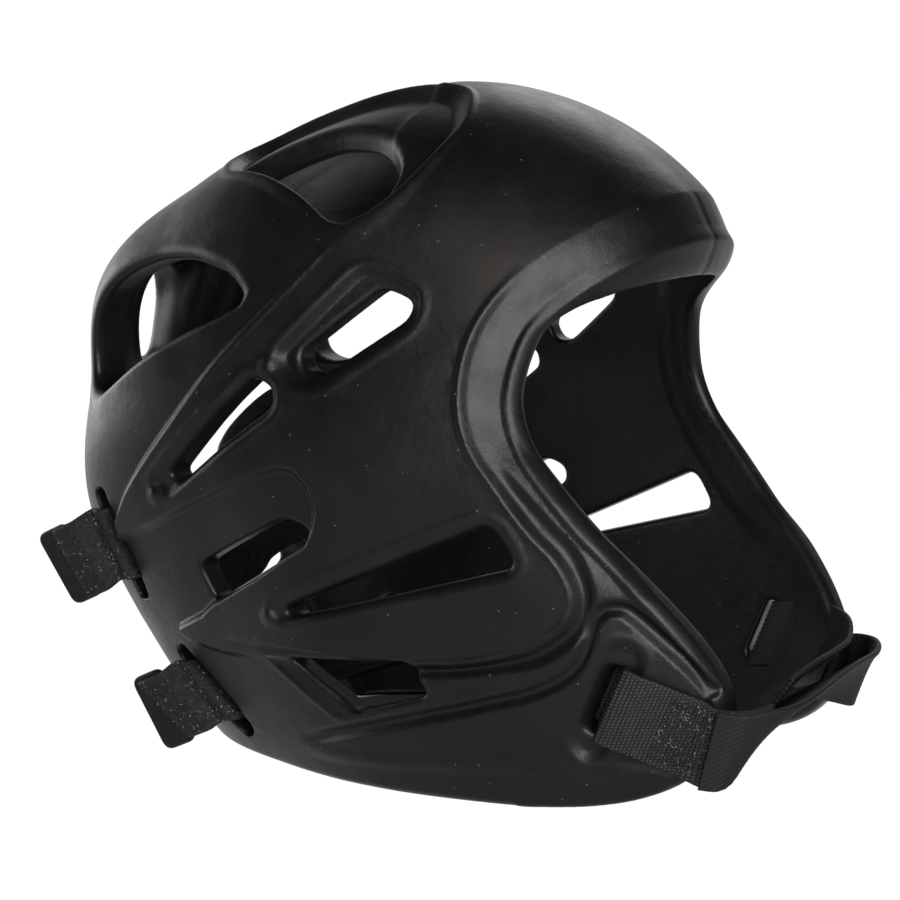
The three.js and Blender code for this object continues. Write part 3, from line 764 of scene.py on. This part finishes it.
# Rows joined by a smooth curve and laid out again at even steps of their length
def even_grid(rows, step, lanes):
    p = np.concatenate([2 * rows[:1] - rows[1:2], rows, 2 * rows[-1:] - rows[-2:-1]])
    gaps = np.sqrt(np.linalg.norm(np.diff(p[:, len(LANES) // 2], axis=0), axis=1)) + 1e-6
    knots = np.concatenate([[0], np.cumsum(gaps)])
    fine = []
    for i in range(1, len(p) - 2):
        k = knots[i - 1:i + 3]
        for t in np.linspace(k[1], k[2], 12, endpoint=False):
            a1 = ((k[1] - t) * p[i - 1] + (t - k[0]) * p[i]) / (k[1] - k[0])
            a2 = ((k[2] - t) * p[i] + (t - k[1]) * p[i + 1]) / (k[2] - k[1])
            a3 = ((k[3] - t) * p[i + 1] + (t - k[2]) * p[i + 2]) / (k[3] - k[2])
            b1 = ((k[2] - t) * a1 + (t - k[0]) * a2) / (k[2] - k[0])
            b2 = ((k[3] - t) * a2 + (t - k[1]) * a3) / (k[3] - k[1])
            fine.append(((k[2] - t) * b1 + (t - k[1]) * b2) / (k[2] - k[1]))
    fine.append(p[-2])
    fine = np.array(fine)
    lengths = np.linalg.norm(np.diff(fine[:, len(LANES) // 2], axis=0), axis=1)
    along = np.concatenate([[0], np.cumsum(lengths)])
    places = np.arange(0, along[-1], step)
    columns = range(len(LANES))
    grid = np.stack([[np.interp(places, along, fine[:, j, c]) for c in range(3)] for j in columns], 0)
    grid = grid.transpose(2, 0, 1)
    share = np.linspace(-0.5, 0.5, lanes)
    wide = np.stack([[np.interp(share, LANES, row[:, c]) for c in range(3)] for row in grid], 0)
    return wide.transpose(0, 2, 1), places


def grid_normals(grid):
    along = np.gradient(grid, axis=0)
    across = np.gradient(grid, axis=1)
    out = np.cross(along, across)
    return out / np.maximum(np.linalg.norm(out, axis=2, keepdims=True), 1e-9)


# Closed band on a grid of its middle, with a relief on both faces and rounded edges
def ribbon(name, grid, places, thick, relief, material):
    n, m = grid.shape[:2]
    across = np.linspace(0, WEBBING_WIDTH, m)
    u, v = np.meshgrid(places, across, indexing="ij")
    from_edge = np.minimum(v, WEBBING_WIDTH - v)
    half = thick / 2 * np.sqrt(1 - (1 - np.clip(from_edge / 0.9, 0, 1)) ** 2 * 0.85)
    normals = grid_normals(grid)
    height = relief(u, v) * np.clip(from_edge / 0.6, 0, 1)
    top = grid + normals * (half + height)[..., None]
    under = grid - normals * (half + height)[..., None]
    points = np.concatenate([top.reshape(-1, 3), under.reshape(-1, 3)])
    i, j = np.meshgrid(np.arange(n - 1), np.arange(m - 1), indexing="ij")
    a = (i * m + j).ravel()
    faces = [np.stack([a, a + m, a + m + 1, a + 1], 1)]
    faces.append(np.stack([a + 1, a + m + 1, a + m, a], 1) + n * m)
    for lane, turn in ((0, 1), (m - 1, -1)):
        k = np.arange(n - 1) * m + lane
        faces.append(np.stack([k, k + n * m, k + m + n * m, k + m], 1)[:, ::turn])
    for station, turn in ((0, -1), (n - 1, 1)):
        k = station * m + np.arange(m - 1)
        faces.append(np.stack([k, k + n * m, k + 1 + n * m, k + 1], 1)[:, ::turn])
    faces = np.concatenate(faces)
    piece = mesh_piece(name, points, faces, material)
    layer = piece.data.uv_layers.new(name="strap")
    flat = np.stack([np.tile(v.ravel(), 2), np.tile(u.ravel(), 2)], 1)
    index = np.empty(len(piece.data.loops), np.int32)
    piece.data.loops.foreach_get("vertex_index", index)
    layer.data.foreach_set("uv", flat[index].astype(np.float32).ravel())
    # Relief height kept for painting light on the crowns and shade between the threads
    painted_crown_light = piece.data.attributes.new("painted_crown_light", "FLOAT", "POINT")
    crown_light_share = (height - height.min()) / (height.max() - height.min())
    painted_crown_light.data.foreach_set("value", np.tile(crown_light_share.ravel(), 2).astype(np.float32))
    return piece


# Tiny arched threads that stand up from a strap, at chosen places of its grid
def loop_threads(name, grid, thick, chosen, count, reach, seed, material):
    rng = np.random.default_rng(seed)
    normals = grid_normals(grid)
    picks = np.argwhere(chosen)
    picks = picks[rng.integers(0, len(picks), count)]
    face = rng.choice([-1.0, 1.0], count)
    base = grid[picks[:, 0], picks[:, 1]] + rng.normal(0, 0.15, (count, 3))
    up = normals[picks[:, 0], picks[:, 1]] * face[:, None]
    base = base + up * thick / 2
    lean = rng.normal(0, 1, (count, 3))
    side = np.cross(up, lean)
    side /= np.maximum(np.linalg.norm(side, axis=1, keepdims=True), 1e-9)
    width = rng.uniform(0.25, 0.6, count)[:, None]
    height = rng.uniform(0.35, 1.0, count)[:, None] * reach
    turns = np.linspace(0, math.pi, 6)
    arch = [base - side * width * math.cos(t) + up * height * math.sin(t) for t in turns]
    path = np.stack(arch, 1)
    tangent = np.gradient(path, axis=1)
    tangent /= np.maximum(np.linalg.norm(tangent, axis=2, keepdims=True), 1e-9)
    flat = np.cross(up, side)[:, None, :]
    third = np.cross(tangent, flat)
    ring = [THREAD_RADIUS * (math.cos(a) * flat + math.sin(a) * third) for a in (0, 2.094, 4.189)]
    points = np.stack([path + r for r in ring], 2).reshape(-1, 3)
    k = np.arange(count)[:, None, None] * 18 + np.arange(5)[None, :, None] * 3
    s = np.arange(3)[None, None, :]
    t = (s + 1) % 3
    faces = np.stack(np.broadcast_arrays(k + s, k + t, k + t + 3, k + s + 3), -1).reshape(-1, 4)
    piece = mesh_piece(name, points, faces, material)
    # Random value per thread; the highest ones get the painted glint in their colour
    glint = piece.data.attributes.new("glint", "FLOAT", "POINT")
    glint.data.foreach_set("value", np.repeat(rng.uniform(0, 1, count), 18).astype(np.float32))
    return piece


# Smoothed grain of the given size on a grid of even steps
def grain(shape, step, size, seed):
    field = np.random.default_rng(seed).normal(0, 1, shape)
    reach = max(1, int(round(size / step)))
    for axis in (0, 1):
        for _ in range(2):
            field = sum(np.roll(field, k, axis) for k in range(-reach, reach + 1)) / (2 * reach + 1)
    return field / field.std()


def coarse_weave(u, v):
    shifted = v + BEAD_SHIFT * (np.floor(u / BEAD_LONG) % 2)
    crossing = np.sin(math.pi * u / BEAD_LONG) * np.sin(math.pi * shifted / BEAD_WIDE)
    beads = BEAD_HEIGHT * np.abs(crossing) ** BEAD_POWER - BEAD_HEIGHT / 2
    return beads + WEAVE_GRAIN * grain(u.shape, RIGHT_STEP, WEAVE_GRAIN_SIZE, WEAVE_SEED)


def fine_rib(u, v):
    ribs = RIB_HEIGHT * np.sin(2 * math.pi * (0.82 * v + 0.57 * u) / RIB_STEP)
    return ribs + CROSS_HEIGHT * np.sin(2 * math.pi * u / CROSS_STEP)


def pile(u, v):
    return PILE_HEIGHT * grain(u.shape, REAR_STEP, PILE_SIZE, PILE_SEED)


def make_chin_straps(weave, rib, thread):
    rows = chin_rows(-1, [], CHIN_ROUTE, RIGHT_END)
    grid, places = even_grid(rows, RIGHT_STEP, RIGHT_LANES)
    right = ribbon("chin_strap_right_weave", grid, places, WEBBING_THICK, coarse_weave, weave)
    chosen = np.zeros(grid.shape[:2], bool)
    chosen[int(len(places) * PATCH_START):int(len(places) * PATCH_END), PATCH_LANES] = True
    fuzz = loop_threads(
        "chin_strap_right_loops", grid, WEBBING_THICK, chosen,
        CHIN_THREADS, CHIN_THREAD_REACH, CHIN_THREAD_SEED, thread,
    )
    length = places[-1]
    rows = chin_rows(1, LEFT_INNER, THROUGH_SLOT, LEFT_END)
    grid, places = even_grid(rows, LEFT_STEP, LEFT_LANES)
    left = ribbon("chin_strap_left_weave", grid, places, WEBBING_THICK, fine_rib, rib)
    return right, fuzz, left, (length, places[-1])


def make_rear_straps(loop, thread):
    pieces = {}
    for seed, (name, strap) in enumerate(REAR_STRAPS.items()):
        grid, places = even_grid(rear_rows(strap), REAR_STEP, REAR_LANES)
        band = ribbon("rear_strap_%s_pile" % name, grid, places, REAR_THICK, pile, loop)
        chosen = np.zeros(grid.shape[:2], bool)
        chosen[:int(LOOPED_LENGTH / REAR_STEP), 1:-1] = True
        fuzz = loop_threads(
            "rear_strap_%s_loops" % name, grid, REAR_THICK, chosen,
            REAR_THREADS, REAR_THREAD_REACH, REAR_THREAD_SEED + seed, thread,
        )
        pieces[name] = (band, fuzz, grid, places[-1])
    return pieces


# Flat pull tab with rounded corners and soft edges against the inner side of the strap's free end
def make_tab(name, grid, material):
    along = grid[0].mean(0) - grid[8].mean(0)
    along /= np.linalg.norm(along)
    across = grid[0, -1] - grid[0, 0]
    inward = np.cross(along, across)
    inward *= np.sign(inward[0]) / np.linalg.norm(inward)
    wide = np.cross(inward, along)
    start = grid[0].mean(0) - along * TAB_OVERLAP + inward * (REAR_THICK / 2 + STRAP_GAP)
    half = TAB_WIDTH / 2
    outline = rounded([(0, -half), (TAB_LENGTH, -half), (TAB_LENGTH, half), (0, half)], TAB_CORNER, 8)
    middle = outline.mean(0)
    rings = []
    for rise, share in TAB_LEVELS:
        flat = middle + (outline - middle) * share
        rings.append(start + flat[:, :1] * along + flat[:, 1:] * wide + rise / 2.0 * TAB_THICK * inward)
    count = len(outline)
    k = np.arange(count)
    turned = (k + 1) % count
    faces = []
    for level in range(len(TAB_LEVELS) - 1):
        faces += list(np.stack([k, turned, turned + count, k + count], 1) + level * count)
    faces.append(k[::-1])
    faces.append(k + (len(TAB_LEVELS) - 1) * count)
    return mesh_piece("rear_tab_%s_plate" % name, np.concatenate(rings), faces, material)


def new_material(name):
    material = bpy.data.materials.new(name)
    material.use_nodes = True
    return material, material.node_tree, material.node_tree.nodes["Principled BSDF"]


def add_node(tree, kind, **values):
    node = tree.nodes.new(kind)
    for name, value in values.items():
        if name in node.inputs:
            node.inputs[name].default_value = value
        else:
            setattr(node, name, value)
    return node


def add_texture(tree, place, kind, **values):
    node = add_node(tree, "ShaderNodeTex" + kind, **values)
    tree.links.new(place, node.inputs["Vector"])
    return node


def set_look(tree, shader, tone, rough, specular):
    tree.links.new(tone, shader.inputs["Base Color"])
    tree.links.new(rough, shader.inputs["Roughness"])
    shader.inputs["Specular IOR Level"].default_value = specular


def ramp(tree, source, stops):
    node = add_node(tree, "ShaderNodeValToRGB")
    tree.links.new(source, node.inputs["Fac"])
    elements = node.color_ramp.elements
    while len(elements) < len(stops):
        elements.new(0.5)
    for element, (place, value) in zip(elements, stops):
        element.position = place
        element.color = (*value, 1) if hasattr(value, "__len__") else (value, value, value, 1)
    return node.outputs["Color"]


def add_bump(tree, shader, height, strength, distance, below=None):
    node = add_node(tree, "ShaderNodeBump", Strength=strength, Distance=distance)
    tree.links.new(height, node.inputs["Height"])
    if below:
        tree.links.new(below, node.inputs["Normal"])
    tree.links.new(node.outputs["Normal"], shader.inputs["Normal"])
    return node.outputs["Normal"]


# Satin skin of moulded foam: cloudy sheen, fine grain, dust specks and the parting line of the mould
def make_foam():
    material, tree, shader = new_material("foam_skin")
    place = add_node(tree, "ShaderNodeTexCoord").outputs["Object"]
    clouds = add_texture(tree, place, "Noise", Scale=22.0, Detail=4.0, Roughness=0.62)
    specks = add_texture(tree, place, "Voronoi", Scale=150.0, Randomness=1.0)
    fine = add_texture(tree, place, "Noise", Scale=900.0, Detail=3.0, Roughness=0.6)
    wear = add_texture(tree, place, "Noise", Scale=70.0, Detail=6.0, Roughness=0.7)
    tone = ramp(tree, clouds.outputs["Fac"], list(zip((0.3, 0.7), FOAM_TONES)))
    dust = ramp(tree, specks.outputs["Distance"], [(0.03, 0.04), (0.06, 0.0)])
    lit = add_node(tree, "ShaderNodeMix", data_type="RGBA", blend_type="ADD")
    lit.inputs["Factor"].default_value = 1.0
    tree.links.new(tone, lit.inputs["A"])
    tree.links.new(dust, lit.inputs["B"])
    apart = add_node(tree, "ShaderNodeSeparateXYZ")
    tree.links.new(place, apart.inputs["Vector"])
    from_middle = add_node(tree, "ShaderNodeMath", operation="ABSOLUTE")
    tree.links.new(apart.outputs["X"], from_middle.inputs[0])
    seam = ramp(tree, from_middle.outputs["Value"], [(0.00022, 0.0), (0.0006, 1.0)])
    dark = add_node(tree, "ShaderNodeMix", data_type="RGBA", blend_type="MULTIPLY")
    dark.inputs["Factor"].default_value = 0.9
    tree.links.new(lit.outputs["Result"], dark.inputs["A"])
    tree.links.new(seam, dark.inputs["B"])
    rough = ramp(tree, wear.outputs["Fac"], [(0.3, 0.34), (0.72, 0.46)])
    set_look(tree, shader, dark.outputs["Result"], rough, 0.138)
    uneven = add_bump(tree, shader, clouds.outputs["Fac"], 0.22, 0.004)
    below = add_bump(tree, shader, fine.outputs["Fac"], 0.25, 0.0003, uneven)
    add_bump(tree, shader, seam, 0.6, 0.0006, below)
    return material


# Woven band: painted shade between the threads and painted light on their crowns, broken up by loose
# fibres
def make_webbing(name, painted_shade_and_light_tones, roughness):
    material, tree, shader = new_material(name)
    painted_crown_light = add_node(tree, "ShaderNodeAttribute", attribute_name="painted_crown_light").outputs["Fac"]
    place = add_node(tree, "ShaderNodeUVMap", uv_map="strap").outputs["UV"]
    fuzz = add_texture(tree, place, "Noise", Scale=2.6, Detail=4.0, Roughness=0.7)
    crown_light_and_fuzz = add_node(tree, "ShaderNodeMath", operation="MULTIPLY")
    tree.links.new(painted_crown_light, crown_light_and_fuzz.inputs[0])
    tree.links.new(fuzz.outputs["Fac"], crown_light_and_fuzz.inputs[1])
    # Painted light on the crowns and painted shade in the hollows, broken up by the fuzz
    tone = ramp(tree, crown_light_and_fuzz.outputs["Value"], list(zip((0.26, 0.60), painted_shade_and_light_tones)))
    rough = ramp(tree, fuzz.outputs["Fac"], [(0.3, roughness), (0.8, 0.85)])
    set_look(tree, shader, tone, rough, 0.18)
    add_bump(tree, shader, fuzz.outputs["Fac"], 0.5, 0.0004)
    return material


# Loop pile: dull black threads with single glinting ones
def make_pile():
    material, tree, shader = new_material("loop_pile_black")
    place = add_node(tree, "ShaderNodeTexCoord").outputs["Object"]
    tufts = add_texture(tree, place, "Noise", Scale=1300.0, Detail=4.0, Roughness=0.75)
    glints = add_texture(tree, place, "Voronoi", Scale=1500.0, Randomness=1.0)
    tone = ramp(tree, tufts.outputs["Fac"], list(zip((0.45, 0.8), PILE_TONES)))
    rough = ramp(tree, glints.outputs["Distance"], [(0.1, 0.35), (0.5, 0.8)])
    set_look(tree, shader, tone, rough, 0.2)
    add_bump(tree, shader, tufts.outputs["Fac"], 0.7, 0.0005)
    return material


# Single threads of the pile: most are black, a few are painted bright as glints and are also less rough
def make_thread():
    material, tree, shader = new_material("loop_thread")
    glint = add_node(tree, "ShaderNodeAttribute", attribute_name="glint").outputs["Fac"]
    # Painted glint: the top few threads turn pale
    tone = ramp(tree, glint, list(zip((0.0, 0.92, 1.0), THREAD_BLACK_AND_PAINTED_GLINT_TONES)))
    tree.links.new(tone, shader.inputs["Base Color"])
    tree.links.new(ramp(tree, glint, [(0.5, 0.6), (1.0, 0.25)]), shader.inputs["Roughness"])
    return material


# Smooth moulded tab with fine scuffs
def make_tab_plastic():
    material, tree, shader = new_material("tab_plastic_black")
    place = add_node(tree, "ShaderNodeTexCoord").outputs["Object"]
    scuff = add_texture(tree, place, "Noise", Scale=260.0, Detail=5.0, Roughness=0.7)
    tone = ramp(tree, scuff.outputs["Fac"], list(zip((0.35, 0.75), TAB_TONES)))
    rough = ramp(tree, scuff.outputs["Fac"], [(0.3, 0.3), (0.75, 0.48)])
    set_look(tree, shader, tone, rough, 0.12)
    add_bump(tree, shader, scuff.outputs["Fac"], 0.12, 0.0003)
    return material


def make_camera():
    camera = new_object("camera", bpy.data.cameras.new("camera"))
    camera.data.lens = CAMERA_LENS
    camera.data.sensor_width = 36
    flat = math.cos(CAMERA_RISE)
    away = Vector((math.sin(CAMERA_AZIMUTH) * flat, -math.cos(CAMERA_AZIMUTH) * flat, 0))
    away.z = math.sin(CAMERA_RISE)
    camera.location = CAMERA_TARGET + away * CAMERA_DISTANCE
    camera.rotation_euler = away.to_track_quat("Z", "Y").to_euler()
    bpy.context.scene.camera = camera


def place_light(light, place, target):
    light.location = place
    light.rotation_euler = (Vector(place) - Vector(target)).to_track_quat("Z", "Y").to_euler()


def make_soft_box(name, place, size, power):
    light = new_object(name, bpy.data.lights.new(name, "AREA"))
    light.data.shape = "RECTANGLE"
    light.data.size, light.data.size_y = size
    light.data.energy = power
    place_light(light, place, LIGHT_TARGET)


# Narrow lamp that makes the warm spot on the crown
def make_warm_lamp():
    lamp = new_object("warm_lamp", bpy.data.lights.new("warm_lamp", "SPOT"))
    lamp.data.energy = LAMP_POWER
    lamp.data.color = LAMP_TINT
    lamp.data.spot_size = LAMP_ANGLE
    lamp.data.spot_blend = 1.0
    lamp.data.shadow_soft_size = LAMP_RADIUS
    place_light(lamp, LAMP_PLACE, LAMP_TARGET)


# Floor that glows white around the guard, with a painted shadow where its glow is turned down inside an
# ellipse under the guard's hollow
def make_floor():
    material, tree, shader = new_material("floor_white_painted_shadow")
    shader.inputs["Base Color"].default_value = (0.04, 0.04, 0.04, 1)
    shader.inputs["Roughness"].default_value = 0.9
    shader.inputs["Specular IOR Level"].default_value = 0.0
    place = add_node(tree, "ShaderNodeTexCoord").outputs["Object"]
    under = add_node(tree, "ShaderNodeVectorMath", operation="MULTIPLY_ADD")
    shares = [-middle / reach for middle, reach in zip(PAINTED_SHADOW_MIDDLE, PAINTED_SHADOW_REACH)]
    under.inputs[1].default_value = (1 / PAINTED_SHADOW_REACH[0], 1 / PAINTED_SHADOW_REACH[1], 0)
    under.inputs[2].default_value = (*shares, 0)
    tree.links.new(place, under.inputs[0])
    shadow_ellipse_share = add_node(tree, "ShaderNodeVectorMath", operation="LENGTH")
    tree.links.new(under.outputs["Vector"], shadow_ellipse_share.inputs[0])
    # Painted shadow: the floor's glow drops nearly to black inside the ellipse
    light = ramp(tree, shadow_ellipse_share.outputs["Value"], [(0.86, 0.01), (1.0, 1.0)])
    tree.links.new(light, shader.inputs["Emission Color"])
    shader.inputs["Emission Strength"].default_value = 1.0
    mesh = bpy.data.meshes.new("floor")
    signs = ((-1, -1), (1, -1), (1, 1), (-1, 1))
    corners = [(FLOOR_REACH * i, FLOOR_REACH * j, FLOOR_DROP) for i, j in signs]
    mesh.from_pydata(corners, [], [(0, 1, 2, 3)])
    mesh.materials.append(material)
    floor = new_object("floor", mesh)


# White wall behind the object that fades to a dark room on the near side
def make_world():
    world = bpy.data.worlds.new("studio")
    bpy.context.scene.world = world
    world.use_nodes = True
    tree = world.node_tree
    place = add_node(tree, "ShaderNodeTexCoord").outputs["Generated"]
    facing = add_node(tree, "ShaderNodeVectorMath", operation="DOT_PRODUCT")
    away = (-0.5 * math.sin(CAMERA_AZIMUTH), 0.5 * math.cos(CAMERA_AZIMUTH), WALL_TILT)
    facing.inputs[1].default_value = away
    tree.links.new(place, facing.inputs[0])
    lifted = add_node(tree, "ShaderNodeMath", operation="ADD")
    lifted.inputs[1].default_value = 0.5
    tree.links.new(facing.outputs["Value"], lifted.inputs[0])
    wall = ramp(tree, lifted.outputs["Value"], WALL_STOPS)
    tree.links.new(wall, tree.nodes["Background"].inputs["Color"])
    tree.nodes["Background"].inputs["Strength"].default_value = WALL_STRENGTH


make_camera()
make_floor()
make_world()
for box in SOFT_BOXES:
    make_soft_box(**box)
make_warm_lamp()
bpy.context.scene.view_settings.view_transform = "Standard"

foam = make_foam()
shell_piece = make_shell(foam)
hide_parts("shell")
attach(shell_piece, "root")

weave = make_webbing("webbing_coarse", WEAVE_PAINTED_SHADE_AND_LIGHT_TONES, 0.45)
rib = make_webbing("webbing_ribbed", RIB_PAINTED_SHADE_AND_LIGHT_TONES, 0.5)
loop = make_pile()
thread = make_thread()
plastic = make_tab_plastic()
right, right_fuzz, left, lengths = make_chin_straps(weave, rib, thread)
for piece, name in ((right, "right"), (left, "left")):
    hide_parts("chin_strap_" + name)
    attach(piece, "root")
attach(right_fuzz, "root")
for name, (strap, fuzz, grid, length) in make_rear_straps(loop, thread).items():
    tab = make_tab(name, grid, plastic)
    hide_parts("rear_strap_" + name)
    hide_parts("rear_tab_" + name)
    for piece in (strap, fuzz, tab):
        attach(piece, "root")
